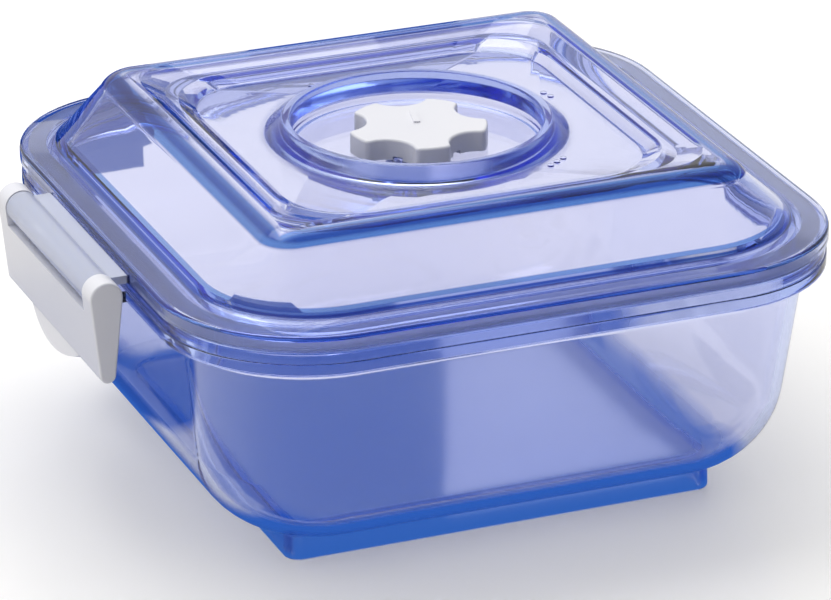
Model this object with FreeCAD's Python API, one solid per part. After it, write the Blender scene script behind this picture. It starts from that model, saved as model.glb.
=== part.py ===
"""Square vacuum seal canister: clear bowl and lid, a side clip and a turning valve knob.

Millimetres. +Z is up and +X points along the front edge, away from the clip. Each piece is made about the
bowl's own axis, and main() then shifts all of them so that the origin is the middle of the whole box's
underside. Heights named *_Z are worked out from the sizes above them.
"""
import FreeCAD
import Part
import math
import os

V = FreeCAD.Vector
UP = V(0, 0, 1)
ALONG_Y = V(0, 1, 0)

# Overrun of cuts past a face, and the tolerance used to pick edges
OVERRUN = 2.0
PICK = 0.01

# Bowl
BOWL_NECK_HALF = 88.8
BOWL_NECK_CORNER = 35.0
BOWL_NECK_RISE = 60.0
BOWL_DRAFT_RUN = 7.0
BOWL_BASE_CORNER = 32.0
BOWL_BASE_ROUND = 26.0
BOWL_WALL = 2.6
BOWL_FLOOR = 2.6
FOOT_SPREAD = 6.6
FOOT_CORNER = 4.5
FOOT_HEIGHT = 7.0
FOOT_WALL = 3.0
FOOT_ROUND = 0.8
RIM_OVERHANG = 5.2
RIM_HEIGHT = 6.7
RIM_COVE = 4.0
RIM_ROUND = 0.5
BEAD_HEIGHT = 3.6
BEAD_PROUD = 0.6
LEDGE_PROUD = 3.8
LEDGE_HEIGHT = 3.2
LEDGE_INSET = 4.6
LEDGE_ROUND = 1.0

# Lid
LID_GAP = 0.3
LID_WALL = 2.4
FLANGE_OVERHANG = 1.0
FLANGE_EDGE = 4.3
FLANGE_WIDTH = 9.5
FLANGE_RISE = 1.0
FLANGE_ROUND = 1.2
SLOPE_FOOT_CORNER = 34.0
SLOPE_FOOT_ROUND = 1.5
SLOPE_RUN = 15.5
SLOPE_HEIGHT = 13.5
FRAME_FOOT_CORNER = 9.0
FRAME_RUN = 3.8
FRAME_HEIGHT = 4.5
CREST_WIDTH = 3.8
CREST_CORNER = 6.5
CREST_ROUND = 1.6
RECESS_RIM_CORNER = 14.0
RECESS_RIM_RUN = 5.5
RECESS_STEP_DEPTH = 2.4
RECESS_STEP_LEDGE = 1.5
RECESS_FLOOR_RUN = 5.5
RECESS_FLOOR_CORNER = 20.0
RECESS_DEPTH = 4.8
RECESS_ROUND = 0.5
RIB_DROP = 4.0
RIB_CLEARANCE = 1.5
CHANNEL_MARGIN = 1.6
CHANNEL_WIDTH = 5.0
CHANNEL_DEPTH = 2.5

# Well in the lid
WELL_RADIUS = 34.9
WELL_DEPTH = 8.8
WELL_ROUND = 1.6
COLLAR_WIDTH = 2.4
COLLAR_FLARE = 4.6
COLLAR_DROP = 0.7
COLLAR_ROUND = 1.2
BOSS_WALL = 3.0
BOSS_LENGTH = 4.0
VENT_RADIUS = 1.2
VENT_COUNT = 3
DIMPLE_RADIUS = 1.6
DIMPLE_DEPTH = 0.8
DIMPLE_INSET = 0.8
DIMPLE_ANGLE = -132.0
PIP_RADIUS = 0.9
PIP_HEIGHT = 0.5
PIP_MARGIN = 3.1
PIP_STEP = 3.2
PIP_ANGLES = (109.0, 14.0, -55.0)

# Lug on the lid's left side, and the clip that turns on it
HINGE_OUT = 9.0
LUG_RADIUS = 4.4
LUG_END_GAP = 0.4
LUG_SKIN = 2.0
LUG_WEB = 2.3
LUG_WEB_SINK = 1.6
PIN_RADIUS = 1.6
PIN_LENGTH = 5.0
PIN_CLEARANCE = 0.05
PIN_END_GAP = 0.5
CLIP_HALF_LENGTH = 39.0
CLIP_LEG = 7.0
CLIP_BULB_PROUD = 0.2
CLIP_TIP_RADIUS = 2.25
CLIP_DROP = 22.0
CLIP_SKIN = 2.6
CLIP_WINDOW_GAP = 0.8
CLIP_ROUND = 0.6
NOSE_HEIGHT = 3.2
NOSE_GAP = 0.3
NOSE_HOLD = 0.7
NOSE_END_INSET = 2.0
NOSE_ROUND = 0.8
TAB_HALF_LENGTH = 21.0
TAB_DROP = 4.5
TAB_THICKNESS = 2.4
TAB_FLARE = 14.0

# Gasket
GASKET_CLEARANCE = 0.05

# Knob and valve
KNOB_RADIUS = 19.5
KNOB_HEIGHT = 6.0
KNOB_LIFT = 0.1
KNOB_LOBES = 5
KNOB_NOTCH_RADIUS = 7.9
KNOB_NOTCH_OUT = 2.4
KNOB_FIRST_NOTCH = 10.0
KNOB_WALL = 1.7
KNOB_CAP = 1.9
KNOB_CUSP_ROUND = 1.6
KNOB_TOP_ROUND = 0.8
KNOB_AIR_WIDTH = 3.0
KNOB_AIR_HEIGHT = 1.0
INDEX_LENGTH = 8.0
INDEX_WIDTH = 1.8
INDEX_HEIGHT = 0.5
INDEX_ANGLE = 76.0
SEAL_THICKNESS = 1.6
SEAL_CLEARANCE = 0.1
SEAL_LAND = 2.6
SLOT_CLEARANCE = 0.3
SLOT_TURN = 60.0
STEM_RADIUS = 4.0
STEM_CLEARANCE = 0.05
STEM_TAIL = 1.2
PRESS_CLEARANCE = 0.02
O_RING_GROOVE_DEPTH = 1.0
O_RING_CLEARANCE = 0.005
O_RING_SIDE_GAP = 0.13
SPRING_RADIUS = 8.6
SPRING_THICKNESS = 0.5
SPRING_DISH = 0.9
SPRING_GAP = 0.1
WASHER_MARGIN = 0.4
WASHER_THICKNESS = 1.0
RING_PROUD = 2.0
RING_THICKNESS = 0.8
RING_GROOVE_DEPTH = 1.0
RING_GAP_ANGLE = 70.0

# Half widths and radii that follow from the sizes above
BASE_HALF = BOWL_NECK_HALF - BOWL_DRAFT_RUN
FOOT_HALF = BASE_HALF - BOWL_BASE_ROUND + FOOT_SPREAD
RIM_HALF = BOWL_NECK_HALF + RIM_OVERHANG
RIM_CORNER = BOWL_NECK_CORNER + RIM_OVERHANG
BEAD_HALF = RIM_HALF + BEAD_PROUD
LEDGE_X = BEAD_HALF + LEDGE_PROUD
FLANGE_HALF = RIM_HALF + FLANGE_OVERHANG
FLANGE_CORNER = RIM_CORNER + FLANGE_OVERHANG
SLOPE_FOOT_HALF = FLANGE_HALF - FLANGE_WIDTH
FRAME_FOOT_HALF = SLOPE_FOOT_HALF - SLOPE_RUN
CREST_HALF = FRAME_FOOT_HALF - FRAME_RUN
RECESS_RIM_HALF = CREST_HALF - CREST_WIDTH
RECESS_STEP_HALF = RECESS_RIM_HALF - RECESS_RIM_RUN
RECESS_FLOOR_HALF = RECESS_STEP_HALF - RECESS_FLOOR_RUN
CHANNEL_HALF = RIM_HALF - CHANNEL_MARGIN
CHANNEL_CORNER = RIM_CORNER - CHANNEL_MARGIN
COLLAR_RADIUS = WELL_RADIUS + COLLAR_WIDTH
PIP_CIRCLE = COLLAR_RADIUS + COLLAR_FLARE + PIP_MARGIN
HINGE_X = FLANGE_HALF + HINGE_OUT
CLIP_BULB_RADIUS = LUG_RADIUS + CLIP_BULB_PROUD
LUG_HALF_LENGTH = CLIP_HALF_LENGTH - CLIP_LEG - LUG_END_GAP
LEDGE_HALF_LENGTH = LUG_HALF_LENGTH - LEDGE_INSET
NOSE_HALF_LENGTH = LEDGE_HALF_LENGTH - NOSE_END_INSET
KNOB_NOTCH_CIRCLE = KNOB_RADIUS + KNOB_NOTCH_OUT
DIMPLE_CIRCLE = KNOB_RADIUS - DIMPLE_INSET
SEAL_RADIUS = KNOB_NOTCH_CIRCLE - KNOB_NOTCH_RADIUS - KNOB_WALL - SEAL_CLEARANCE
VENT_CIRCLE = SEAL_RADIUS - SEAL_LAND
SLOT_RADIUS = VENT_RADIUS + SLOT_CLEARANCE
BOSS_RADIUS = STEM_RADIUS + BOSS_WALL
O_RING_CORE = STEM_RADIUS - O_RING_GROOVE_DEPTH
O_RING_SECTION = (O_RING_GROOVE_DEPTH + STEM_CLEARANCE) / 2 - O_RING_CLEARANCE
WASHER_RADIUS = SPRING_RADIUS + WASHER_MARGIN
RING_RADIUS = STEM_RADIUS + RING_PROUD
CENTRE_SHIFT = (HINGE_X + CLIP_BULB_RADIUS - FLANGE_HALF) / 2

# Heights
BASE_Z = FOOT_HEIGHT
INNER_FLOOR_Z = BASE_Z + BOWL_FLOOR
NECK_Z = BASE_Z + BOWL_NECK_RISE
RIM_Z = NECK_Z + RIM_HEIGHT
BEAD_Z = NECK_Z + BEAD_HEIGHT
FLANGE_Z = RIM_Z + LID_GAP
FLANGE_TOP_Z = FLANGE_Z + FLANGE_EDGE
SLOPE_Z = FLANGE_TOP_Z + FLANGE_RISE
FRAME_Z = SLOPE_Z + SLOPE_HEIGHT
CREST_Z = FRAME_Z + FRAME_HEIGHT
RECESS_Z = CREST_Z - RECESS_DEPTH
RECESS_STEP_Z = CREST_Z - RECESS_STEP_DEPTH
WELL_Z = CREST_Z - WELL_DEPTH
COLLAR_Z = CREST_Z - COLLAR_DROP
BOSS_Z = WELL_Z - LID_WALL - BOSS_LENGTH
HINGE_Z = FLANGE_TOP_Z - LUG_RADIUS
KNOB_Z = WELL_Z + KNOB_LIFT
KNOB_TOP_Z = KNOB_Z + KNOB_HEIGHT
SEAL_TOP_Z = WELL_Z + SEAL_THICKNESS
STEM_TOP_Z = KNOB_TOP_Z - KNOB_CAP
SPRING_Z = BOSS_Z - SPRING_GAP - SPRING_THICKNESS - SPRING_DISH
WASHER_Z = SPRING_Z - WASHER_THICKNESS
RING_Z = WASHER_Z - RING_THICKNESS
STEM_Z = RING_Z - STEM_TAIL


def rounded_square(half, radius, z):
    """Closed outline of a square with round corners, centred on Z."""
    flat = half - radius
    slant = radius * math.sqrt(0.5)
    edges = []
    for quarter in range(4):
        turn = FreeCAD.Rotation(UP, 90 * quarter)
        side_start = turn.multVec(V(half, -flat, z))
        side_end = turn.multVec(V(half, flat, z))
        corner = turn.multVec(V(flat + slant, flat + slant, z))
        next_start = turn.multVec(V(flat, half, z))
        edges.append(Part.LineSegment(side_start, side_end).toShape())
        edges.append(Part.Arc(side_end, corner, next_start).toShape())
    return Part.Wire(edges)


def frustum(low, high):
    """Solid between two rounded squares, each given as (half width, corner radius, height)."""
    return Part.makeLoft([rounded_square(*low), rounded_square(*high)], True, True)


def slab(half, radius, z_low, z_high):
    """Straight-sided rounded square between two heights."""
    return frustum((half, radius, z_low), (half, radius, z_high))


def square_ring(outer_half, outer_corner, width, z_low, z_high):
    """Rounded-square ring of constant width."""
    outer = slab(outer_half, outer_corner, z_low, z_high)
    inner = slab(outer_half - width, outer_corner - width, z_low - OVERRUN, z_high + OVERRUN)
    return outer.cut(inner)


def disc(radius, z_low, z_high, x=0, y=0):
    """Upright cylinder between two heights."""
    return Part.makeCylinder(radius, z_high - z_low, V(x, y, z_low), UP)


def level_edges(shape, z, nearest=0, furthest=math.inf):
    """Edges lying at one height whose box reaches between two distances out from the centre."""
    found = []
    for edge in shape.Edges:
        box = edge.BoundBox
        reach = max(abs(box.XMin), abs(box.XMax), abs(box.YMin), abs(box.YMax))
        level = abs(box.ZMin - z) < PICK and abs(box.ZMax - z) < PICK
        if level and nearest - PICK < reach < furthest + PICK:
            found.append(edge)
    return found


def rounded(shape, radius, edges):
    """The shape with the given edges rounded."""
    return shape.makeFillet(radius, edges)


def polar(radius, angle, z):
    """Point at a radius and an angle in degrees about Z."""
    return V(radius * math.cos(math.radians(angle)), radius * math.sin(math.radians(angle)), z)


def draft(half_low, half_high, rise):
    """Outward run of a wall per millimetre of height."""
    return (half_high - half_low) / rise


def inner_wall(z):
    """Half width, corner radius and height of the bowl's inner wall at one height."""
    rise = z - BASE_Z
    half = BASE_HALF + draft(BASE_HALF, BOWL_NECK_HALF, BOWL_NECK_RISE) * rise
    corner = BOWL_BASE_CORNER + draft(BOWL_BASE_CORNER, BOWL_NECK_CORNER, BOWL_NECK_RISE) * rise
    return half - BOWL_WALL, corner - BOWL_WALL, z


def make_bowl():
    """Drafted bowl with a rolled rim, a latch ledge on its left side and a foot ring."""
    outside = frustum(
        (BASE_HALF, BOWL_BASE_CORNER, BASE_Z),
        (BOWL_NECK_HALF, BOWL_NECK_CORNER, NECK_Z),
    )
    outside = rounded(outside, BOWL_BASE_ROUND, level_edges(outside, BASE_Z))
    rim = slab(RIM_HALF, RIM_CORNER, NECK_Z, RIM_Z)
    rim = rounded(rim, RIM_ROUND, level_edges(rim, RIM_Z))
    bead = slab(BEAD_HALF, RIM_CORNER + BEAD_PROUD, NECK_Z, BEAD_Z)
    bead_edges = level_edges(bead, NECK_Z) + level_edges(bead, BEAD_Z)
    bead = rounded(bead, RIM_ROUND, bead_edges)
    body = outside.fuse([rim, bead]).removeSplitter()
    body = rounded(body, RIM_COVE, level_edges(body, NECK_Z, furthest=BOWL_NECK_HALF))

    inside = frustum(inner_wall(INNER_FLOOR_Z), inner_wall(RIM_Z + OVERRUN))
    inside = rounded(inside, BOWL_BASE_ROUND - BOWL_WALL, level_edges(inside, INNER_FLOOR_Z))

    foot = slab(FOOT_HALF, FOOT_CORNER, 0, INNER_FLOOR_Z)
    foot = rounded(foot, FOOT_ROUND, level_edges(foot, 0))
    foot_hollow = slab(FOOT_HALF - FOOT_WALL, FOOT_CORNER - FOOT_WALL, -OVERRUN, BASE_Z)
    body = body.fuse(foot).cut(foot_hollow)

    ledge_depth = RIM_OVERHANG + LEDGE_PROUD
    ledge = Part.makeBox(
        ledge_depth, LEDGE_HALF_LENGTH + LEDGE_HALF_LENGTH, LEDGE_HEIGHT, V(-LEDGE_X, -LEDGE_HALF_LENGTH, NECK_Z)
    )
    tips = [e for e in ledge.Edges if abs(e.BoundBox.XMin + LEDGE_X) < PICK and e.BoundBox.XLength < PICK]
    body = body.fuse(rounded(ledge, LEDGE_ROUND, tips))
    return body.cut(inside).removeSplitter()


def lid_cavity():
    """Hollow under the lid: the slope's inside, less the walls of the sunk top and of the well."""
    slope_run = draft(FRAME_FOOT_HALF, SLOPE_FOOT_HALF, SLOPE_HEIGHT)
    frame_run = draft(CREST_HALF, FRAME_FOOT_HALF, FRAME_HEIGHT)
    slope_inset = LID_WALL * math.hypot(1, slope_run)
    frame_inset = LID_WALL * math.hypot(1, frame_run)
    foot_half = SLOPE_FOOT_HALF - slope_inset
    foot_corner = SLOPE_FOOT_CORNER - slope_inset
    bend_drop = (slope_inset - frame_inset) / (slope_run - frame_run)
    bend_half = FRAME_FOOT_HALF - frame_inset + frame_run * bend_drop
    bend_z = FRAME_Z - bend_drop
    roof_z = CREST_Z - LID_WALL
    roof_half = bend_half - frame_run * (roof_z - bend_z)
    slope_tent = frustum((foot_half, foot_corner, SLOPE_Z), (bend_half, FRAME_FOOT_CORNER, bend_z))
    frame_tent = frustum((bend_half, FRAME_FOOT_CORNER, bend_z), (roof_half, CREST_CORNER, roof_z))
    tent = slope_tent.fuse(frame_tent)
    mouth = slab(foot_half, foot_corner, FLANGE_Z - RIB_DROP - OVERRUN, SLOPE_Z)

    step_low_z = RECESS_STEP_Z - LID_WALL
    sunk_rim = frustum(
        (RECESS_STEP_HALF + LID_WALL, RECESS_RIM_CORNER + LID_WALL, step_low_z),
        (RECESS_RIM_HALF + LID_WALL, RECESS_RIM_CORNER + LID_WALL, CREST_Z),
    )
    sunk_floor = frustum(
        (RECESS_FLOOR_HALF + LID_WALL, RECESS_FLOOR_CORNER + LID_WALL, RECESS_Z - LID_WALL),
        (RECESS_STEP_HALF - RECESS_STEP_LEDGE + LID_WALL, RECESS_FLOOR_CORNER + LID_WALL, RECESS_STEP_Z),
    )
    well_cup = disc(WELL_RADIUS + LID_WALL, WELL_Z - LID_WALL, COLLAR_Z)
    well_cup = rounded(well_cup, WELL_ROUND, level_edges(well_cup, WELL_Z - LID_WALL))
    return tent.fuse(mouth).cut(sunk_rim.fuse([sunk_floor, well_cup]))


def hinge_lug():
    """Moulded hood on the lid's left side that carries the clip: open below, solid at its ends for the pins."""
    lug_length = LUG_HALF_LENGTH + LUG_HALF_LENGTH
    barrel = Part.makeCylinder(LUG_RADIUS, lug_length, V(-HINGE_X, -LUG_HALF_LENGTH, HINGE_Z), ALONG_Y)
    web_top = FLANGE_TOP_Z - LUG_WEB_SINK
    web_run = HINGE_X - FLANGE_HALF + FLANGE_OVERHANG / 2
    web = Part.makeBox(web_run, lug_length, LUG_WEB, V(-HINGE_X, -LUG_HALF_LENGTH, web_top - LUG_WEB))
    lug = barrel.fuse(web)
    hole_depth = PIN_LENGTH + PIN_END_GAP
    inner = LUG_RADIUS - LUG_SKIN
    hollow_half = LUG_HALF_LENGTH - hole_depth - LUG_SKIN
    hollow_start = V(-HINGE_X, -hollow_half, HINGE_Z)
    hollow = Part.makeCylinder(inner, hollow_half + hollow_half, hollow_start, ALONG_Y)
    throat = Part.makeBox(
        inner + inner, hollow_half + hollow_half, LUG_RADIUS + OVERRUN,
        V(-HINGE_X - inner, -hollow_half, HINGE_Z - LUG_RADIUS - OVERRUN),
    )
    lug = lug.cut(hollow.fuse(throat))
    for end in (-1, 1):
        mouth = V(-HINGE_X, end * (LUG_HALF_LENGTH + OVERRUN), HINGE_Z)
        hole = Part.makeCylinder(PIN_RADIUS + PIN_CLEARANCE, hole_depth + OVERRUN, mouth, ALONG_Y * -end)
        lug = lug.cut(hole)
    return lug


def position_pips():
    """One, two and three plain pips on the sunk top, where the knob's three settings lie."""
    pips = []
    for count, angle in enumerate(PIP_ANGLES, start=1):
        for place in range(count):
            shift = PIP_STEP * (place - (count - 1) / 2)
            spot = polar(PIP_CIRCLE, angle, RECESS_Z - PIP_HEIGHT) + polar(shift, angle + 90, 0)
            pip = Part.makeCylinder(PIP_RADIUS, PIP_HEIGHT + PIP_HEIGHT, spot, UP)
            pips.append(pip)
    return pips


def make_lid():
    """Clear lid: flange, sloped shoulder, sunk top, well with collar and boss, and the clip's lug."""
    flange = slab(FLANGE_HALF, FLANGE_CORNER, FLANGE_Z, FLANGE_TOP_Z)
    flange_top = frustum(
        (FLANGE_HALF, FLANGE_CORNER, FLANGE_TOP_Z),
        (SLOPE_FOOT_HALF, SLOPE_FOOT_CORNER, SLOPE_Z),
    )
    flange = flange.fuse(flange_top).removeSplitter()
    flange = rounded(flange, FLANGE_ROUND, level_edges(flange, FLANGE_TOP_Z))
    shoulder = frustum(
        (SLOPE_FOOT_HALF, SLOPE_FOOT_CORNER, SLOPE_Z), (FRAME_FOOT_HALF, FRAME_FOOT_CORNER, FRAME_Z)
    )
    frame = frustum((FRAME_FOOT_HALF, FRAME_FOOT_CORNER, FRAME_Z), (CREST_HALF, CREST_CORNER, CREST_Z))
    frame = rounded(frame, CREST_ROUND, level_edges(frame, CREST_Z))
    body = flange.fuse([shoulder, frame])
    body = rounded(body, SLOPE_FOOT_ROUND, level_edges(body, SLOPE_Z))

    upper_recess = frustum(
        (RECESS_STEP_HALF, RECESS_RIM_CORNER, RECESS_STEP_Z),
        (RECESS_RIM_HALF, RECESS_RIM_CORNER, CREST_Z),
    )
    lower_recess = frustum(
        (RECESS_FLOOR_HALF, RECESS_FLOOR_CORNER, RECESS_Z),
        (RECESS_STEP_HALF - RECESS_STEP_LEDGE, RECESS_FLOOR_CORNER, RECESS_STEP_Z),
    )
    lower_recess = rounded(lower_recess, RECESS_ROUND, level_edges(lower_recess, RECESS_Z))
    body = body.cut(upper_recess.fuse(lower_recess))
    recess_lip = level_edges(body, CREST_Z, RECESS_RIM_HALF - RECESS_ROUND, RECESS_RIM_HALF)
    body = rounded(body, RECESS_ROUND, recess_lip)

    collar = Part.makeCone(COLLAR_RADIUS + COLLAR_FLARE, COLLAR_RADIUS, COLLAR_Z - RECESS_Z, V(0, 0, RECESS_Z), UP)
    collar = rounded(collar, COLLAR_ROUND, level_edges(collar, COLLAR_Z))
    well = disc(WELL_RADIUS, WELL_Z, CREST_Z + OVERRUN)
    well = rounded(well, WELL_ROUND, level_edges(well, WELL_Z))
    boss = disc(BOSS_RADIUS, BOSS_Z, WELL_Z - LID_WALL)
    mouth_half, mouth_corner, mouth_z = inner_wall(RIM_Z)
    rib = square_ring(
        mouth_half - RIB_CLEARANCE, mouth_corner - RIB_CLEARANCE, LID_WALL,
        mouth_z + LID_GAP - RIB_DROP, FLANGE_TOP_Z,
    )
    body = body.fuse([collar, rib]).cut(lid_cavity())
    body = body.fuse(boss).cut(well)
    body = body.cut(disc(STEM_RADIUS + STEM_CLEARANCE, BOSS_Z - OVERRUN, WELL_Z + OVERRUN))

    channel = square_ring(
        CHANNEL_HALF, CHANNEL_CORNER, CHANNEL_WIDTH, FLANGE_Z - OVERRUN, FLANGE_Z + CHANNEL_DEPTH
    )
    body = body.cut(channel)
    for number in range(VENT_COUNT):
        spot = polar(VENT_CIRCLE, number * 360 / VENT_COUNT, 0)
        body = body.cut(disc(VENT_RADIUS, BOSS_Z, WELL_Z + OVERRUN, spot.x, spot.y))
    dimple = polar(DIMPLE_CIRCLE, DIMPLE_ANGLE, 0)
    body = body.cut(disc(DIMPLE_RADIUS, WELL_Z - DIMPLE_DEPTH, WELL_Z + OVERRUN, dimple.x, dimple.y))
    return body.fuse(position_pips() + [hinge_lug()]).removeSplitter()


def make_gasket():
    """Silicone ring that fills the flange's channel and rests on the bowl's rim."""
    outer_half = CHANNEL_HALF - GASKET_CLEARANCE
    outer_corner = CHANNEL_CORNER - GASKET_CLEARANCE
    width = CHANNEL_WIDTH - GASKET_CLEARANCE - GASKET_CLEARANCE
    return square_ring(outer_half, outer_corner, width, RIM_Z, FLANGE_Z + CHANNEL_DEPTH)


def teardrop(shift, y_low, y_high):
    """End shape of a clip, swept along Y: a round bulb at the hinge tapering to a small round tip."""
    lean = math.asin((CLIP_BULB_RADIUS - CLIP_TIP_RADIUS) / CLIP_DROP)
    side_x = math.cos(lean)
    side_z = -math.sin(lean)
    tip_z = HINGE_Z - CLIP_DROP
    middle = HINGE_X + shift
    bulb_out = V(middle + CLIP_BULB_RADIUS * side_x, y_low, HINGE_Z + CLIP_BULB_RADIUS * side_z)
    bulb_top = V(middle, y_low, HINGE_Z + CLIP_BULB_RADIUS)
    bulb_in = V(middle - CLIP_BULB_RADIUS * side_x, y_low, HINGE_Z + CLIP_BULB_RADIUS * side_z)
    tip_in = V(middle - CLIP_TIP_RADIUS * side_x, y_low, tip_z + CLIP_TIP_RADIUS * side_z)
    tip_end = V(middle, y_low, tip_z - CLIP_TIP_RADIUS)
    tip_out = V(middle + CLIP_TIP_RADIUS * side_x, y_low, tip_z + CLIP_TIP_RADIUS * side_z)
    outline = Part.Wire([
        Part.Arc(bulb_out, bulb_top, bulb_in).toShape(),
        Part.LineSegment(bulb_in, tip_in).toShape(),
        Part.Arc(tip_in, tip_end, tip_out).toShape(),
        Part.LineSegment(tip_out, bulb_out).toShape(),
    ])
    return Part.Face(outline).extrude(V(0, y_high - y_low, 0))


def clip_leg(end):
    """One end leg of the clip, with its stub pin. end is -1 at the front and 1 at the back."""
    leg_start = CLIP_HALF_LENGTH - CLIP_LEG
    y_low = leg_start if end > 0 else -CLIP_HALF_LENGTH
    leg = teardrop(0, y_low, y_low + CLIP_LEG)
    outer_y = end * CLIP_HALF_LENGTH
    rim = [e for e in leg.Edges if e.BoundBox.YLength < PICK and abs(e.BoundBox.YMin - outer_y) < PICK]
    leg = rounded(leg, CLIP_ROUND, rim)
    root = V(HINGE_X, end * (leg_start + PIN_RADIUS), HINGE_Z)
    reach = PIN_LENGTH + PIN_RADIUS + leg_start - LUG_HALF_LENGTH
    return leg.fuse(Part.makeCylinder(PIN_RADIUS, reach, root, ALONG_Y * -end))


def clip_panel():
    """Thin outer wall between the legs, open above for the lid's lug, with a solid bead along its foot."""
    leg_start = CLIP_HALF_LENGTH - CLIP_LEG
    wall = teardrop(0, -leg_start, leg_start)
    wide = CLIP_BULB_RADIUS + CLIP_SKIN + OVERRUN
    length = leg_start + leg_start + OVERRUN + OVERRUN
    tip_z = HINGE_Z - CLIP_DROP
    bead = Part.makeBox(
        wide + wide, length, CLIP_DROP, V(HINGE_X - wide, -leg_start - OVERRUN, tip_z - CLIP_DROP)
    )
    hollow = teardrop(-CLIP_SKIN, -leg_start - OVERRUN, leg_start + OVERRUN).cut(bead)
    panel_top = HINGE_Z - LUG_RADIUS - CLIP_WINDOW_GAP
    window = Part.makeBox(
        wide + wide, length, CLIP_DROP, V(HINGE_X - wide, -leg_start - OVERRUN, panel_top)
    )
    return wall.cut(hollow).cut(window)


def clip_nose():
    """Latch bar inside the panel that reaches under the bowl's ledge."""
    nose_x = LEDGE_X - NOSE_HOLD
    nose_z = NECK_Z - NOSE_GAP - NOSE_HEIGHT
    nose_run = HINGE_X + CLIP_TIP_RADIUS - nose_x
    nose_length = NOSE_HALF_LENGTH + NOSE_HALF_LENGTH
    nose = Part.makeBox(nose_run, nose_length, NOSE_HEIGHT, V(nose_x, -NOSE_HALF_LENGTH, nose_z))
    tip = [e for e in nose.Edges if e.BoundBox.XMax - nose_x < PICK and e.BoundBox.YLength > PICK]
    return rounded(nose, NOSE_ROUND, tip)


def clip_tab():
    """Curved finger tab under the panel's bead, flared away from the bowl."""
    tip_z = HINGE_Z - CLIP_DROP
    root_z = tip_z - CLIP_TIP_RADIUS / 2
    inner_x = HINGE_X - TAB_THICKNESS / 2
    front = V(inner_x, -TAB_HALF_LENGTH, root_z)
    back = V(inner_x, TAB_HALF_LENGTH, root_z)
    lowest = V(inner_x, 0, tip_z - CLIP_TIP_RADIUS - TAB_DROP)
    outline = Part.Wire([
        Part.Arc(front, lowest, back).toShape(),
        Part.LineSegment(back, front).toShape(),
    ])
    tab = Part.Face(outline).extrude(V(TAB_THICKNESS, 0, 0))
    tab.rotate(V(HINGE_X, 0, tip_z), ALONG_Y, -TAB_FLARE)
    return tab


def make_clip():
    """Side clip: end legs with stub pins, thin panel, latch nose and finger tab, drawn at +X and mirrored."""
    clip = clip_panel().fuse([clip_leg(-1), clip_leg(1), clip_nose(), clip_tab()])
    return clip.removeSplitter().mirror(V(0, 0, 0), V(1, 0, 0))


def make_knob():
    """Lobed knob with a raised index, a pocket for its seal, a stem socket and air ways in its notches."""
    body = disc(KNOB_RADIUS, KNOB_Z, KNOB_TOP_Z)
    pitch = 360 / KNOB_LOBES
    for number in range(KNOB_LOBES):
        spot = polar(KNOB_NOTCH_CIRCLE, KNOB_FIRST_NOTCH + number * pitch, 0)
        body = body.cut(disc(KNOB_NOTCH_RADIUS, KNOB_Z - OVERRUN, KNOB_TOP_Z + OVERRUN, spot.x, spot.y))
    cusps = [e for e in body.Edges if e.BoundBox.ZLength > KNOB_HEIGHT - PICK and e.BoundBox.XLength < PICK]
    body = rounded(body, KNOB_CUSP_ROUND, cusps)
    body = rounded(body, KNOB_TOP_ROUND, level_edges(body, KNOB_TOP_Z))
    index = Part.makeBox(
        INDEX_LENGTH, INDEX_WIDTH, INDEX_HEIGHT + INDEX_HEIGHT,
        V(0, -INDEX_WIDTH / 2, KNOB_TOP_Z - INDEX_HEIGHT),
    )
    index.rotate(V(0, 0, 0), UP, INDEX_ANGLE)
    body = body.fuse(index)
    pocket = disc(SEAL_RADIUS + SEAL_CLEARANCE, KNOB_Z - OVERRUN, SEAL_TOP_Z)
    socket = disc(STEM_RADIUS + PRESS_CLEARANCE, KNOB_Z, STEM_TOP_Z)
    body = body.cut(pocket.fuse(socket))
    for number in range(KNOB_LOBES):
        air = Part.makeBox(
            KNOB_RADIUS, KNOB_AIR_WIDTH, KNOB_AIR_HEIGHT + OVERRUN,
            V(SEAL_RADIUS - SEAL_THICKNESS, -KNOB_AIR_WIDTH / 2, KNOB_Z - OVERRUN),
        )
        air.rotate(V(0, 0, 0), UP, KNOB_FIRST_NOTCH + number * pitch)
        body = body.cut(air)
    return body.removeSplitter()


def make_knob_seal():
    """Silicone disc in the knob's pocket, with ports that meet the vent holes at part of its turn."""
    body = disc(SEAL_RADIUS, WELL_Z, SEAL_TOP_Z).cut(disc(STEM_RADIUS + STEM_CLEARANCE, WELL_Z, SEAL_TOP_Z))
    for number in range(VENT_COUNT):
        spot = polar(VENT_CIRCLE, SLOT_TURN + number * 360 / VENT_COUNT, 0)
        body = body.cut(disc(SLOT_RADIUS, WELL_Z - OVERRUN, SEAL_TOP_Z + OVERRUN, spot.x, spot.y))
    return body


def o_ring_centre_z():
    """Height of the O-ring, half way down the lid's bore."""
    return (WELL_Z + BOSS_Z) / 2


def make_stem():
    """Spindle from the knob's socket through the lid, with grooves for the O-ring and the ring below."""
    body = disc(STEM_RADIUS, STEM_Z, STEM_TOP_Z)
    half_groove = O_RING_SECTION + O_RING_SIDE_GAP
    ring_z = o_ring_centre_z()
    groove = disc(STEM_RADIUS + OVERRUN, ring_z - half_groove, ring_z + half_groove)
    body = body.cut(groove.cut(disc(O_RING_CORE, STEM_Z, KNOB_TOP_Z)))
    lower = disc(STEM_RADIUS + OVERRUN, RING_Z, WASHER_Z)
    return body.cut(lower.cut(disc(STEM_RADIUS - RING_GROOVE_DEPTH, STEM_Z, KNOB_TOP_Z)))


def make_o_ring():
    """Round silicone ring in the stem's groove."""
    middle = (O_RING_CORE + STEM_RADIUS + STEM_CLEARANCE) / 2
    return Part.makeTorus(middle, O_RING_SECTION, V(0, 0, o_ring_centre_z()), UP)


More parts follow.
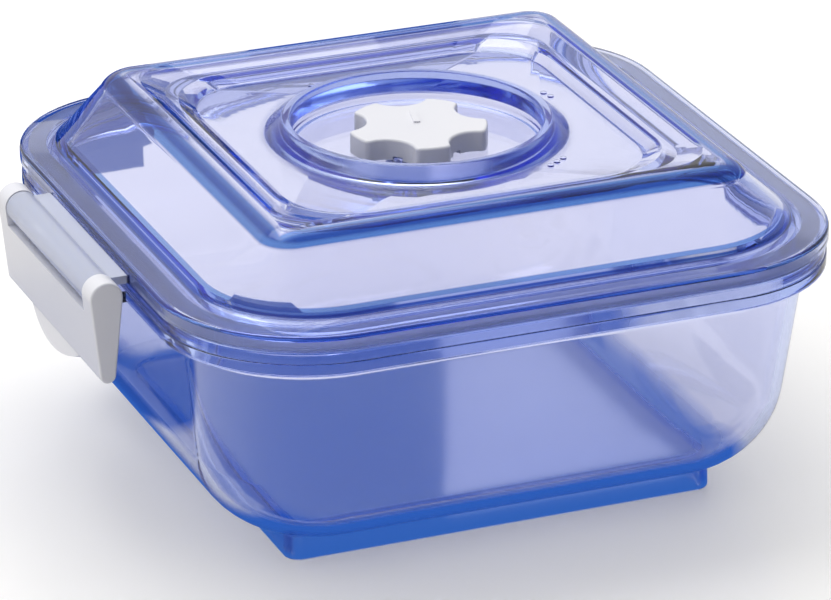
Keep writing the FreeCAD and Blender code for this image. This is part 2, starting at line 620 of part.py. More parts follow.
def make_disc_spring():
    """Coned steel washer: its inner edge bears up on the boss, its outer edge down on the flat washer."""
    bore = STEM_RADIUS + SPRING_GAP
    points = [
        V(bore, 0, SPRING_Z + SPRING_DISH),
        V(SPRING_RADIUS, 0, SPRING_Z),
        V(SPRING_RADIUS, 0, SPRING_Z + SPRING_THICKNESS),
        V(bore, 0, SPRING_Z + SPRING_DISH + SPRING_THICKNESS),
    ]
    outline = Part.makePolygon(points + [points[0]])
    return Part.Face(outline).revolve(V(0, 0, 0), UP, 360)


def make_washer():
    """Flat washer under the disc spring."""
    hole = disc(STEM_RADIUS + STEM_CLEARANCE, WASHER_Z - OVERRUN, SPRING_Z + OVERRUN)
    return disc(WASHER_RADIUS, WASHER_Z, SPRING_Z).cut(hole)


def make_retaining_ring():
    """Open steel ring pushed into the stem's lower groove."""
    inner = STEM_RADIUS - RING_GROOVE_DEPTH + PRESS_CLEARANCE
    body = disc(RING_RADIUS, RING_Z, WASHER_Z).cut(disc(inner, RING_Z - OVERRUN, WASHER_Z + OVERRUN))
    reach = RING_RADIUS + OVERRUN
    half = RING_GAP_ANGLE / 2
    centre = V(0, 0, RING_Z - OVERRUN)
    points = [
        centre,
        centre + polar(reach / math.cos(math.radians(half)), -half, 0),
        centre + polar(reach / math.cos(math.radians(half)), half, 0),
    ]
    wedge = Part.Face(Part.makePolygon(points + [points[0]]))
    return body.cut(wedge.extrude(V(0, 0, RING_THICKNESS + OVERRUN + OVERRUN)))


def main():
    """Build every piece and write it to its own file."""
    os.makedirs("parts", exist_ok=True)
    pieces = {
        "bowl": make_bowl(),
        "lid": make_lid(),
        "lid_gasket": make_gasket(),
        "side_clip": make_clip(),
        "knob": make_knob(),
        "knob_seal": make_knob_seal(),
        "valve_stem": make_stem(),
        "stem_o_ring": make_o_ring(),
        "disc_spring": make_disc_spring(),
        "stem_washer": make_washer(),
        "retaining_ring": make_retaining_ring(),
    }
    for name, shape in pieces.items():
        shape.translate(V(CENTRE_SHIFT, 0, 0))
        shape.exportStep("parts/" + name + ".step")
        box = shape.BoundBox
        print(
            name, "solids", len(shape.Solids), "valid", shape.isValid(), "volume", round(shape.Volume, 1),
            "x", round(box.XMin, 2), round(box.XMax, 2), "y", round(box.YMin, 2), round(box.YMax, 2),
            "z", round(box.ZMin, 2), round(box.ZMax, 2),
        )


main()
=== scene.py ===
import bmesh
import bpy
import math
from mathutils import Matrix, Vector


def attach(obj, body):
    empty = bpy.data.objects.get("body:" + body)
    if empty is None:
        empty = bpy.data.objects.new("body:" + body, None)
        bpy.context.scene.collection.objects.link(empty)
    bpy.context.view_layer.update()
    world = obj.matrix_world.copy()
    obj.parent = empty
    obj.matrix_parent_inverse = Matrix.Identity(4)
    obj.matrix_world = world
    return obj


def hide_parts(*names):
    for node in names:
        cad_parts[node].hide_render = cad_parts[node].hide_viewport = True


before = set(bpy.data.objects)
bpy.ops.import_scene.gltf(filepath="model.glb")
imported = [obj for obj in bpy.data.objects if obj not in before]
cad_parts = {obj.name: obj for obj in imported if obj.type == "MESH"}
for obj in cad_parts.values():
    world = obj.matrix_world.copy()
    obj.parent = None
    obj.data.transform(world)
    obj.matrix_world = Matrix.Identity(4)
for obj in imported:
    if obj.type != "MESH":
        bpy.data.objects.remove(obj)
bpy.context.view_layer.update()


# The bowl is one injection moulding in clear blue plastic, polished inside and out, with 2.6 mm walls.
# The walls lean out and roll into the floor. The foot ring, the beaded rim and the latch ledge on the
# left are moulded in one with it.
scene = bpy.context.scene
MM = 0.001
BOWL_AXIS = Vector((6.8, 0, 0))
CORNER_STEPS = 15
LINE_GAP = 40
CREASE_ANGLE = 42
FOOT_Z, FLOOR_Z, NECK_Z, RIM_Z = 7.0, 9.6, 67.0, 73.7
BASE_HALF, NECK_HALF, RIM_HALF, BEAD_HALF, BEAD_HEIGHT = 81.8, 88.8, 94.0, 94.6, 3.6
FOOT_HALF, FOOT_WALL, FOOT_CORNER, FOOT_ROLL = 62.4, 3.0, 4.5, 0.8
FOOT_ROOT_CORNER, FOOT_ROOT_Z = 5.1, 6.8
BOWL_WALL, BASE_ROLL, COVE_ROLL, EDGE_ROLL, MOUTH_ROLL = 2.6, 26.0, 4.0, 0.5, 0.4
CORNER_CENTRE, CORNER_SPREAD = 49.8, 4.0
LEAN = math.atan((NECK_HALF - BASE_HALF) / (NECK_Z - FOOT_Z))
LEAN_DEGREES = math.degrees(LEAN)
LEDGE_HALF_LENGTH, LEDGE_HEIGHT, LEDGE_PROUD, LEDGE_ROOT, LEDGE_ROUND = 27.0, 3.2, 3.8, 3.0, 1.0


def square_line(mesh, half, corner, z):
    """A closed line round the moulding, a square with round corners, and the height that it belongs at."""
    made = bmesh.ops.create_grid(mesh, x_segments=1, y_segments=1, size=half)
    bent = bmesh.ops.bevel(
        mesh, geom=made["verts"], offset=corner, offset_type="ABSOLUTE", affect="VERTICES",
        segments=CORNER_STEPS, profile=0.5, material=-1,
    )
    sheet = bent["verts"][0].link_faces[0]
    edges = list(sheet.edges)
    bmesh.ops.delete(mesh, geom=[sheet], context="FACES_ONLY")
    return edges, z


def roll(middle, z, radius, start, end, steps):
    """Half widths and heights along a rounded edge of the profile, between two angles in degrees."""
    turns = [math.radians(start + (end - start) * step / steps) for step in range(steps + 1)]
    return [(middle + radius * math.cos(turn), z + radius * math.sin(turn)) for turn in turns]


def cornered(points, half, corner, share=1):
    """Gives points of a profile their corner radius, which grows with the half width."""
    return [(wide, corner + (wide - half) * share, z) for wide, z in points]


def skin(mesh, lines, closed=False):
    """Joins each line to the next, with the lines held well apart, and then sets them at their heights."""
    rings = [list({vert for edge in edges for vert in edge.verts}) for edges, z in lines]
    for number, ring in enumerate(rings):
        bmesh.ops.translate(mesh, verts=ring, vec=(0, 0, LINE_GAP * number))
    for (low, _), (high, _) in zip(lines, lines[1:]):
        bmesh.ops.bridge_loops(mesh, edges=low + high)
    if closed:
        bmesh.ops.translate(mesh, verts=rings[0], vec=(0, 0, LINE_GAP * len(rings)))
        bmesh.ops.bridge_loops(mesh, edges=lines[-1][0] + lines[0][0])
        bmesh.ops.translate(mesh, verts=rings[0], vec=(0, 0, -LINE_GAP * len(rings)))
    for number, (ring, (edges, z)) in enumerate(zip(rings, lines)):
        bmesh.ops.translate(mesh, verts=ring, vec=(0, 0, z - LINE_GAP * number))


def piece_from(name, mesh):
    """An object in the scene from its finished mesh."""
    made = bpy.data.meshes.new(name)
    mesh.to_mesh(made)
    mesh.free()
    piece = bpy.data.objects.new(name, made)
    scene.collection.objects.link(piece)
    return piece


def moulding(name, mesh):
    """The finished piece from its mesh in millimetres about the bowl's axis, with all faces outwards."""
    bmesh.ops.recalc_face_normals(mesh, faces=mesh.faces)
    bmesh.ops.translate(mesh, verts=mesh.verts, vec=BOWL_AXIS)
    bmesh.ops.scale(mesh, verts=mesh.verts, vec=(MM, MM, MM))
    return piece_from(name, mesh)


def worked(piece, operation, tool):
    """The piece with another solid moulded on to it, or cut out of it."""
    step = piece.modifiers.new("step", "BOOLEAN")
    step.operation = operation
    step.solver = "EXACT"
    step.object = tool
    bpy.context.view_layer.update()
    made = bpy.data.meshes.new_from_object(piece.evaluated_get(bpy.context.evaluated_depsgraph_get()))
    piece.modifiers.clear()
    piece.data = made
    bpy.data.objects.remove(tool)


def polished(piece):
    """Smooth shading that keeps flat faces flat and breaks only at true edges."""
    piece.data.shade_smooth()
    piece.data.set_sharp_from_angle(angle=math.radians(CREASE_ANGLE))
    evened = piece.modifiers.new("even_shading", "WEIGHTED_NORMAL")
    evened.keep_sharp = True


def corner_of(half, z):
    """Corner radius of the bowl's walls: the corners' centres spread a little with height."""
    spread = min(max((z - FOOT_Z) / (NECK_Z - FOOT_Z), 0), 1)
    return half - (CORNER_CENTRE + CORNER_SPREAD * spread)


# From the foot ring's inside, up the outside of the wall, over the rim and down the inside to the floor.
roll_inset = 1 / math.cos(LEAN) - math.tan(LEAN)
roll_middle = BASE_HALF - BASE_ROLL * roll_inset
cove_middle = NECK_HALF + COVE_ROLL * roll_inset
roll_z = FOOT_Z + BASE_ROLL
bead_z = NECK_Z + BEAD_HEIGHT
bead_middle = BEAD_HALF - EDGE_ROLL
mouth_half = BASE_HALF - BOWL_WALL + (RIM_Z - FOOT_Z) * math.tan(LEAN)
inner_half = FOOT_HALF - FOOT_WALL
inner_corner = FOOT_CORNER - FOOT_WALL
foot_edge = roll(FOOT_HALF - FOOT_ROLL, FOOT_ROLL, FOOT_ROLL, -90, 0, 4)
wall_points = [
    *roll(roll_middle, roll_z, BASE_ROLL, -79, -LEAN_DEGREES, 12),
    *roll(cove_middle, NECK_Z - COVE_ROLL, COVE_ROLL, 180 - LEAN_DEGREES, 90, 6),
    *roll(bead_middle, NECK_Z + EDGE_ROLL, EDGE_ROLL, -90, 0, 3),
    *roll(bead_middle, bead_z - EDGE_ROLL, EDGE_ROLL, 0, 90, 3),
    (RIM_HALF, bead_z),
    *roll(RIM_HALF - EDGE_ROLL, RIM_Z - EDGE_ROLL, EDGE_ROLL, 0, 90, 3),
    *roll(mouth_half + MOUTH_ROLL, RIM_Z - MOUTH_ROLL, MOUTH_ROLL, 90, 180 - LEAN_DEGREES, 3),
    *roll(roll_middle, roll_z, BASE_ROLL - BOWL_WALL, -LEAN_DEGREES, -90, 12),
]
bowl_rows = [
    (inner_half, inner_corner, FOOT_Z),
    (inner_half, inner_corner, 0),
    *cornered(foot_edge, FOOT_HALF, FOOT_CORNER),
    (FOOT_HALF, FOOT_ROOT_CORNER, FOOT_ROOT_Z),
    *((half, corner_of(half, z), z) for half, z in wall_points),
]
bowl_mesh = bmesh.new()
bowl_lines = [square_line(bowl_mesh, *row) for row in bowl_rows]
skin(bowl_mesh, bowl_lines)
bmesh.ops.contextual_create(bowl_mesh, geom=bowl_lines[0][0])
bmesh.ops.contextual_create(bowl_mesh, geom=bowl_lines[-1][0])
bowl = moulding("clear_bowl", bowl_mesh)

ledge_mesh = bmesh.new()
ledge_run = LEDGE_PROUD + LEDGE_ROOT
ledge_made = bmesh.ops.create_cube(ledge_mesh, size=1)
ledge_size = (ledge_run, 2 * LEDGE_HALF_LENGTH, LEDGE_HEIGHT)
bmesh.ops.scale(ledge_mesh, verts=ledge_made["verts"], vec=ledge_size)
ledge_spot = (ledge_run / 2 - BEAD_HALF - LEDGE_PROUD, 0, NECK_Z + LEDGE_HEIGHT / 2)
bmesh.ops.translate(ledge_mesh, verts=ledge_made["verts"], vec=ledge_spot)
outer_x = ledge_spot[0] - ledge_run / 4
outer_edges = [edge for edge in ledge_mesh.edges if sum(vert.co.x for vert in edge.verts) / 2 < outer_x]
bmesh.ops.bevel(
    ledge_mesh, geom=outer_edges, offset=LEDGE_ROUND, affect="EDGES", segments=4, profile=0.5, material=-1,
)
worked(bowl, "UNION", moulding("ledge", ledge_mesh))
polished(bowl)


class Finish:
    """A node socket in one material, with the sums that the finishes here are written in."""

    def __init__(self, tree, socket=None):
        self.tree = tree
        self.socket = socket

    def fill(self, made, **values):
        """Sets or links a node's sockets, by name with _ for a space, or by number after an i."""
        for name, value in values.items():
            numbered = name[0] == "i" and name[1:].isdigit()
            key = int(name[1:]) if numbered else name.replace("_", " ")
            if isinstance(value, Finish):
                self.tree.links.new(value.socket, made.inputs[key])
            else:
                made.inputs[key].default_value = value

    def node(self, kind, settings=None, out=0, **values):
        """Adds a node of any type, sets its properties, then its sockets, and returns one output."""
        made = self.tree.nodes.new(kind)
        for name, value in (settings or {}).items():
            setattr(made, name, value)
        self.fill(made, **values)
        return Finish(self.tree, made.outputs[out])

    def sum(self, operation, one, two):
        """A Math node on two values."""
        return self.node("ShaderNodeMath", {"operation": operation}, i0=one, i1=two)

    def __add__(self, other):
        return self.sum("ADD", self, other)

    def __radd__(self, other):
        return self.sum("ADD", other, self)

    def __sub__(self, other):
        return self.sum("SUBTRACT", self, other)

    def __rsub__(self, other):
        return self.sum("SUBTRACT", other, self)

    def __mul__(self, other):
        return self.sum("MULTIPLY", self, other)

    def __rmul__(self, other):
        return self.sum("MULTIPLY", other, self)


def new_finish(name):
    """A new material, its shader, a start for its nodes, and the place on the piece that they read."""
    made = bpy.data.materials.new(name)
    made.use_nodes = True
    base = Finish(made.node_tree)
    spot = base.node("ShaderNodeTexCoord", out="Object")
    return made, made.node_tree.nodes["Principled BSDF"], base, spot


def fade(value, start, end, low=0, high=1):
    """Goes from low to high while the value goes from start to end."""
    return value.node(
        "ShaderNodeMapRange", Value=value, From_Min=start, From_Max=end, To_Min=low, To_Max=high,
    )


def blended(share, one, two):
    """A colour that lies a share of the way from one colour to another."""
    return share.node("ShaderNodeMix", {"data_type": "RGBA"}, 2, Factor=share, i6=one, i7=two)


def square_distance(spot):
    """How far a place is from the bowl's axis, along x or y, whichever is more."""
    place = spot.node("ShaderNodeVectorMath", {"operation": "SUBTRACT"}, i0=spot, i1=BOWL_AXIS * MM)
    away = spot.node("ShaderNodeVectorMath", {"operation": "ABSOLUTE"}, i0=place)
    across = spot.node("ShaderNodeSeparateXYZ", out="X", Vector=away)
    along = spot.node("ShaderNodeSeparateXYZ", out="Y", Vector=away)
    return spot.sum("MAXIMUM", across, along)


# Colours of the clear plastic, and the places in metres where the moulds' polish and the colour change. The
# frame's deep blue band and the edge's dark blue lines are painted shade.
TINT, TINT_DENSITY = (0.25, 0.46, 0.91, 1), 80
FRAME_PAINTED_SHADE, FRAME_SHADE_HALF, FRAME_SHADE_Z = (0.015, 0.08, 0.37, 1), (0.0637, 0.0655), (0.0931, 0.0937)
EDGE_PAINTED_SHADE, EDGE_SHADE_LINES, EDGE_SOFT = (0.05, 0.15, 0.5, 1), ((0.0774, 0.0784), (0.0791, 0.0803)), 0.0002
FROST, FROST_Z = 0.26, ((FLOOR_Z + 0.1) * MM, (FLOOR_Z + 0.6) * MM)
RING_DULL, RING_INSIDE, RING_OUTSIDE, RING_Z = 0.13, (0.0335, 0.0345), (0.0425, 0.0445), (0.0888, 0.0892)
HOOD_DULL, HOOD_X = 0.12, (-0.0915, -0.0895)
MILK, MILK_SHARE, MILK_X = (0.74, 0.78, 0.92, 1), 0.6, (-0.0892, -0.0887)


def clear_blue(name, pale, deep):
    """Clear blue plastic: painted dark blue shade round the lid's raised frame and in lines on its edge,
    milky on the hood and the ledge.
    """
    made, shader, base, spot = new_finish(name)
    flow = base.node("ShaderNodeTexNoise", Vector=spot, Scale=28, Detail=2)
    haze = base.node("ShaderNodeTexNoise", Vector=spot, Scale=140, Detail=3)
    ripple = base.node("ShaderNodeBump", Height=flow, Strength=0.05, Distance=0.0006)
    side = base.node("ShaderNodeSeparateXYZ", out="X", Vector=spot)
    height = base.node("ShaderNodeSeparateXYZ", out="Z", Vector=spot)
    # Painted shade: a deep blue band painted round the top of the lid's raised frame.
    frame_shade_share = fade(square_distance(spot), *FRAME_SHADE_HALF) * fade(height, *FRAME_SHADE_Z)
    colour = blended(frame_shade_share, blended(haze, pale, deep), FRAME_PAINTED_SHADE)
    # Painted shade: two dark blue lines painted round the lid's flange edge.
    for low, high in EDGE_SHADE_LINES:
        on_shade_line = fade(height, low, low + EDGE_SOFT) - fade(height, high - EDGE_SOFT, high)
        colour = blended(on_shade_line, colour, EDGE_PAINTED_SHADE)
    place = base.node("ShaderNodeVectorMath", {"operation": "SUBTRACT"}, i0=spot, i1=BOWL_AXIS * MM)
    flat = base.node("ShaderNodeVectorMath", {"operation": "MULTIPLY"}, i0=place, i1=(1, 1, 0))
    radius = base.node("ShaderNodeVectorMath", {"operation": "LENGTH"}, "Value", i0=flat)
    ring = fade(radius, *RING_OUTSIDE, RING_DULL, 0) * fade(radius, *RING_INSIDE) * fade(height, *RING_Z)
    frosted = fade(height, *FROST_Z, FROST, 0)
    satin = fade(side, *HOOD_X, HOOD_DULL, 0)
    base.fill(
        shader, Base_Color=colour, Roughness=0.012 + 0.02 * haze + frosted + satin + ring, Normal=ripple,
        Transmission_Weight=1, IOR=1.5, Specular_IOR_Level=0.3,
    )
    milk = base.node("ShaderNodeBsdfPrincipled", Base_Color=MILK, Roughness=0.35)
    milky = fade(side, *MILK_X, MILK_SHARE, 0)
    clear = Finish(base.tree, shader.outputs[0])
    surface = base.node("ShaderNodeMixShader", Fac=milky, i1=clear, i2=milk)
    depth = base.node("ShaderNodeVolumeAbsorption", Color=TINT, Density=TINT_DENSITY)
    base.fill(base.tree.nodes["Material Output"], Surface=surface, Volume=depth)
    return made


bowl.data.materials.clear()
BOWL_PALE, BOWL_DEEP = (1, 0.97, 1, 1), (0.97, 0.94, 0.98, 1)
bowl.data.materials.append(clear_blue("clear_blue_bowl_plastic", BOWL_PALE, BOWL_DEEP))
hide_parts("bowl")
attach(bowl, "bowl")


# The lid is a second moulding in the same clear plastic, 2.4 mm thick: a flat flange over the bowl's rim, a
# slope, a raised frame, a sunk top, and a round well with a collar for the knob and a pump. A rib and the
# gasket's channel are moulded under the flange, and the hood for the clip's pins on the left side.
FLANGE_HALF, FLANGE_CORNER, FLANGE_Z, FLANGE_CHAMFER = 95.0, 41.2, 74.0, 0.3
FLANGE_ROLL, FLANGE_ROLL_Z = 1.2, 77.22
SLOPE_HALF, SLOPE_CORNER, SLOPE_Z = 85.5, 34.0, 79.3
FILLET_HALF, FILLET_Z, FILLET_ROLL = 86.13, 80.74, 1.5
SLOPE_FOOT, SLOPE_TOP = (SLOPE_HALF, SLOPE_CORNER, SLOPE_Z), (70.0, 9.0, 92.8)
UNDER_FOOT, UNDER_TOP = (81.85, 30.35, SLOPE_Z), (68.01, 8.0, 91.35)
CREST_HALF, CREST_CORNER, CREST_SHARE, CREST_ROLL = 62.94, 4.5, 0.62, 7.79
LID_WALL, CREST_Z, RECESS_Z = 2.4, 97.3, 92.5
SUNK_STEPS = (
    (62.5, 14.1, 97.27), (62.3, 14, 97.22), (62.0, 14, 97.12), (57.15, 14, 95.02), (56.9, 14, 94.92),
    (55.6, 20, 94.9), (55.3, 20, 94.82), (51.75, 20, 92.68), (51.5, 19.9, 92.56), (51.1, 19.7, RECESS_Z),
)
UNDER_STEPS = ((53.8, 22.4, 90.1), (55.8, 22.4, 92.5), (59.3, 16.4, 92.5), (62.05, 16.4, 94.9))
RIB_AND_CHANNEL = (
    (81.85, 30.35, FLANGE_Z), (83.08, 28.8, FLANGE_Z), (83.08, 28.8, 70.3), (83.4, 29.1, 70),
    (85.18, 30.9, 70), (85.48, 31.2, 70.3), (85.48, 31.2, FLANGE_Z), (87.4, 33.6, FLANGE_Z),
    (87.4, 33.6, 76.5), (92.4, 38.6, 76.5), (92.4, 38.6, FLANGE_Z),
)
COLLAR_FOOT, COLLAR_MIDDLE, COLLAR_Z, COLLAR_ROLL, LIP_ROLL = 41.9, 36.75, 96.6, 1.2, 0.5
COLLAR_EASE, COLLAR_EASE_Z = 0.4, 0.5
WELL_RADIUS, WELL_Z, WELL_ROLL, SEAT_RADIUS = 34.9, 88.5, 1.6, 12.0
STEM_BORE, BOSS_RADIUS, BOSS_Z, BOSS_LAND = 4.05, 7.0, 82.1, 14.0
HINGE_X, HINGE_Z, HOOD_RADIUS, HOOD_HALF_LENGTH = 104.0, 73.9, 4.4, 31.6
WEB_LOW_Z, WEB_HIGH_Z, WEB_ROOT = 74.4, 76.7, 0.5
HOLLOW_RADIUS, HOLLOW_HALF_LENGTH, THROAT_HALF, THROAT_Z = 2.4, 24.1, 2.38, 60.0
PIN_HOLE_RADIUS, PIN_HOLE_DEPTH, CUT_SPARE = 1.65, 5.5, 2.0
VENT_RADIUS, VENT_RING, VENT_COUNT, VENT_DEPTH = 1.2, 9.6, 3, 6.0
DIMPLE_RADIUS, DIMPLE_RING, DIMPLE_ANGLE, DIMPLE_DEPTH = 1.6, 18.7, -132, 0.8
PIP_RADIUS, PIP_RING, PIP_ANGLES, PIP_PITCH, PIP_HEIGHT = 0.9, 45.0, (109, 14, -55), 3.2, 0.5


def round_line(mesh, radius, z):
    """A closed round line with as many points as a square one has, and its height."""
    points = 4 * (CORNER_STEPS + 1)
    turned = Matrix.Rotation(math.pi / points, 4, "Z")
    made = bmesh.ops.create_circle(mesh, cap_ends=False, segments=points, radius=radius, matrix=turned)
    return list({edge for vert in made["verts"] for edge in vert.link_edges}), z


def slope_row(foot, top, share):
    """Half width, corner and height of a slope, at a share of the way from its foot to its top."""
    return tuple(low + (high - low) * share for low, high in zip(foot, top))


# Outside from the flange to the sunk top, then the collar, the well and its bore, then back underneath.
well_floor_z = WELL_Z - LID_WALL
cup_radius = WELL_RADIUS + LID_WALL
crest_low = CREST_Z - CREST_ROLL
flange_edge = roll(FLANGE_HALF - FLANGE_ROLL, FLANGE_ROLL_Z, FLANGE_ROLL, 0, 84, 5)
slope_fillet = roll(FILLET_HALF, FILLET_Z, FILLET_ROLL, -96, -131, 4)
crest_outside = roll(CREST_HALF, crest_low, CREST_ROLL, 29, 90, 10)
crest_inside = roll(CREST_HALF, crest_low, CREST_ROLL - LID_WALL, 90, 25, 7)
top_rows = [
    (FLANGE_HALF - FLANGE_CHAMFER, FLANGE_CORNER - FLANGE_CHAMFER, FLANGE_Z),
    (FLANGE_HALF, FLANGE_CORNER, FLANGE_Z + FLANGE_CHAMFER),
    *cornered(flange_edge, FLANGE_HALF, FLANGE_CORNER),
    *cornered(slope_fillet, SLOPE_HALF, SLOPE_CORNER),
    *(slope_row(SLOPE_FOOT, SLOPE_TOP, share) for share in (0.25, 0.5, 0.75, 0.92, 0.97, 1)),
    *cornered(crest_outside, CREST_HALF, CREST_CORNER, CREST_SHARE),
    *SUNK_STEPS,
]
well_rows = [
    (COLLAR_FOOT + COLLAR_EASE, RECESS_Z),
    (COLLAR_FOOT - COLLAR_EASE, RECESS_Z + COLLAR_EASE_Z),
    *roll(COLLAR_MIDDLE, COLLAR_Z - COLLAR_ROLL, COLLAR_ROLL, 41.7, 90, 5),
    *roll(WELL_RADIUS + LIP_ROLL, COLLAR_Z - LIP_ROLL, LIP_ROLL, 90, 180, 3),
    *roll(WELL_RADIUS - WELL_ROLL, WELL_Z + WELL_ROLL, WELL_ROLL, 0, -90, 5),
    (SEAT_RADIUS, WELL_Z),
    (STEM_BORE, WELL_Z),
    (STEM_BORE, BOSS_Z),
    (BOSS_RADIUS, BOSS_Z),
    (BOSS_RADIUS, well_floor_z),
    (BOSS_LAND, well_floor_z),
    *roll(cup_radius - WELL_ROLL, well_floor_z + WELL_ROLL, WELL_ROLL, -90, 0, 5),
    (cup_radius, RECESS_Z - LID_WALL),
]
under_rows = [
    *UNDER_STEPS,
    *cornered(crest_inside, CREST_HALF, CREST_CORNER, CREST_SHARE),
    *(slope_row(UNDER_FOOT, UNDER_TOP, share) for share in (1, 0.8, 0.6, 0.4, 0.2, 0)),
    *RIB_AND_CHANNEL,
]
lid_mesh = bmesh.new()
lid_lines = [square_line(lid_mesh, *row) for row in top_rows]
lid_lines += [round_line(lid_mesh, *row) for row in well_rows]
lid_lines += [square_line(lid_mesh, *row) for row in under_rows]
skin(lid_mesh, lid_lines, closed=True)
lid = moulding("clear_lid", lid_mesh)


def rod(name, radius, start, end, facets):
    """A plain round bar between two points, used to mould on or cut out of the lid."""
    mesh = bmesh.new()
    along = Vector(end) - Vector(start)
    turned = along.to_track_quat("Z", "Y").to_matrix().to_4x4()
    bmesh.ops.create_cone(
        mesh, cap_ends=True, segments=facets, radius1=radius, radius2=radius, depth=along.length,
        matrix=Matrix.Translation((Vector(start) + Vector(end)) / 2) @ turned,
    )
    return moulding(name, mesh)


def bar(name, low, high):
    """A plain square bar between two corners."""
    mesh = bmesh.new()
    made = bmesh.ops.create_cube(mesh, size=1)
    bmesh.ops.scale(mesh, verts=made["verts"], vec=Vector(high) - Vector(low))
    bmesh.ops.translate(mesh, verts=made["verts"], vec=(Vector(high) + Vector(low)) / 2)
    return moulding(name, mesh)


def along_hinge(name, radius, start, end, facets):
    """A round bar on the clip's hinge line, between two places along it."""
    return rod(name, radius, (-HINGE_X, start, HINGE_Z), (-HINGE_X, end, HINGE_Z), facets)


def upright(name, radius, ring, angle, low, high, facets, aside=0):
    """A round bar that stands at a place round the well."""
    place = Matrix.Rotation(math.radians(angle), 4, "Z") @ Vector((ring, aside, 0))
    return rod(name, radius, place + Vector((0, 0, low)), place + Vector((0, 0, high)), facets)


hood = along_hinge("hood", HOOD_RADIUS, -HOOD_HALF_LENGTH, HOOD_HALF_LENGTH, 64)
web_low = (-HINGE_X, -HOOD_HALF_LENGTH, WEB_LOW_Z)
web_high = (WEB_ROOT - FLANGE_HALF, HOOD_HALF_LENGTH, WEB_HIGH_Z)
worked(hood, "UNION", bar("web", web_low, web_high))
hollow = along_hinge("hollow", HOLLOW_RADIUS, -HOLLOW_HALF_LENGTH, HOLLOW_HALF_LENGTH, 48)
worked(hood, "DIFFERENCE", hollow)
throat_low = (-HINGE_X - THROAT_HALF, -HOLLOW_HALF_LENGTH, THROAT_Z)
throat_high = (-HINGE_X + THROAT_HALF, HOLLOW_HALF_LENGTH, HINGE_Z)
worked(hood, "DIFFERENCE", bar("throat", throat_low, throat_high))
for end in (-1, 1):
    hole_start = end * (HOOD_HALF_LENGTH - PIN_HOLE_DEPTH)
    hole_end = end * (HOOD_HALF_LENGTH + CUT_SPARE)
    worked(hood, "DIFFERENCE", along_hinge("pin_hole", PIN_HOLE_RADIUS, hole_start, hole_end, 32))
worked(lid, "UNION", hood)
for number in range(VENT_COUNT):
    vent_angle = 360 / VENT_COUNT * number
    vent_ends = (WELL_Z - VENT_DEPTH, WELL_Z + CUT_SPARE)
    worked(lid, "DIFFERENCE", upright("vent", VENT_RADIUS, VENT_RING, vent_angle, *vent_ends, 24))
dimple_ends = (WELL_Z - DIMPLE_DEPTH, WELL_Z + CUT_SPARE)
dimple = upright("dimple", DIMPLE_RADIUS, DIMPLE_RING, DIMPLE_ANGLE, *dimple_ends, 24)
worked(lid, "DIFFERENCE", dimple)
pip_ends = (RECESS_Z - PIP_HEIGHT, RECESS_Z + PIP_HEIGHT)
for count, angle in enumerate(PIP_ANGLES, start=1):
    for place in range(count):
        aside = PIP_PITCH * (place - (count - 1) / 2)
        worked(lid, "UNION", upright("pip", PIP_RADIUS, PIP_RING, angle, *pip_ends, 20, aside))
polished(lid)
lid.data.materials.clear()
LID_PALE, LID_DEEP = (0.92, 0.89, 0.94, 1), (0.88, 0.85, 0.91, 1)
lid.data.materials.append(clear_blue("clear_blue_lid_plastic", LID_PALE, LID_DEEP))
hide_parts("lid")
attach(lid, "lid")


# The gasket is a moulded silicone ring pressed into the flange's channel, and it rests on the bowl's rim.
# It is nearly clear. The knob's port disc and the stem's O-ring are bluer, with a fine powdery bloom.
def silicone(name, pale, deep, clear):
    """Soft rubbery finish: mottled colour, a dull skin and very fine grain."""
    made, shader, base, spot = new_finish(name)
    mottle = base.node("ShaderNodeTexNoise", Vector=spot, Scale=90, Detail=4)
    grain = base.node("ShaderNodeTexNoise", Vector=spot, Scale=2600, Detail=2)
    base.fill(
        shader, Base_Color=blended(mottle, pale, deep), Roughness=0.42 + 0.2 * mottle,
        Normal=base.node("ShaderNodeBump", Height=grain, Strength=0.2, Distance=0.0001),
        Transmission_Weight=clear, IOR=1.41,
    )
    return made


def dressed(node, finish):
    """Gives a solid of the frame its finish."""
    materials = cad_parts[node].data.materials
    materials.clear()
    materials.append(finish)


dressed("lid_gasket", silicone("clear_gasket_silicone", (0.72, 0.80, 1, 1), (0.66, 0.75, 0.96, 1), 0.85))
dressed("knob_seal", silicone("port_disc_silicone", (0.55, 0.64, 0.82, 1), (0.46, 0.56, 0.77, 1), 0.3))
dressed("stem_o_ring", silicone("o_ring_silicone", (0.40, 0.50, 0.74, 1), (0.32, 0.43, 0.68, 1), 0))


# The side clip is moulded in opaque white plastic with a satin skin. Its stub pins snap into the lid's
# hood, and its nose hooks under the bowl's ledge.
def white_plastic(name, pale, deep, dull):
    """Opaque moulded plastic: slight flow marks in the colour and a fine satin texture."""
    made, shader, base, spot = new_finish(name)
    flow = base.node("ShaderNodeTexNoise", Vector=spot, Scale=45, Detail=3)
    grain = base.node("ShaderNodeTexNoise", Vector=spot, Scale=1800, Detail=2)
    base.fill(
        shader, Base_Color=blended(flow, pale, deep), Roughness=dull + 0.12 * flow,
        Normal=base.node("ShaderNodeBump", Height=grain, Strength=0.12, Distance=0.0001),
    )
    return made


CLIP_PALE, CLIP_DEEP, CLIP_DULL = (0.82, 0.82, 0.86, 1), (0.78, 0.78, 0.83, 1), 0.32
dressed("side_clip", white_plastic("white_clip_plastic", CLIP_PALE, CLIP_DEEP, CLIP_DULL))


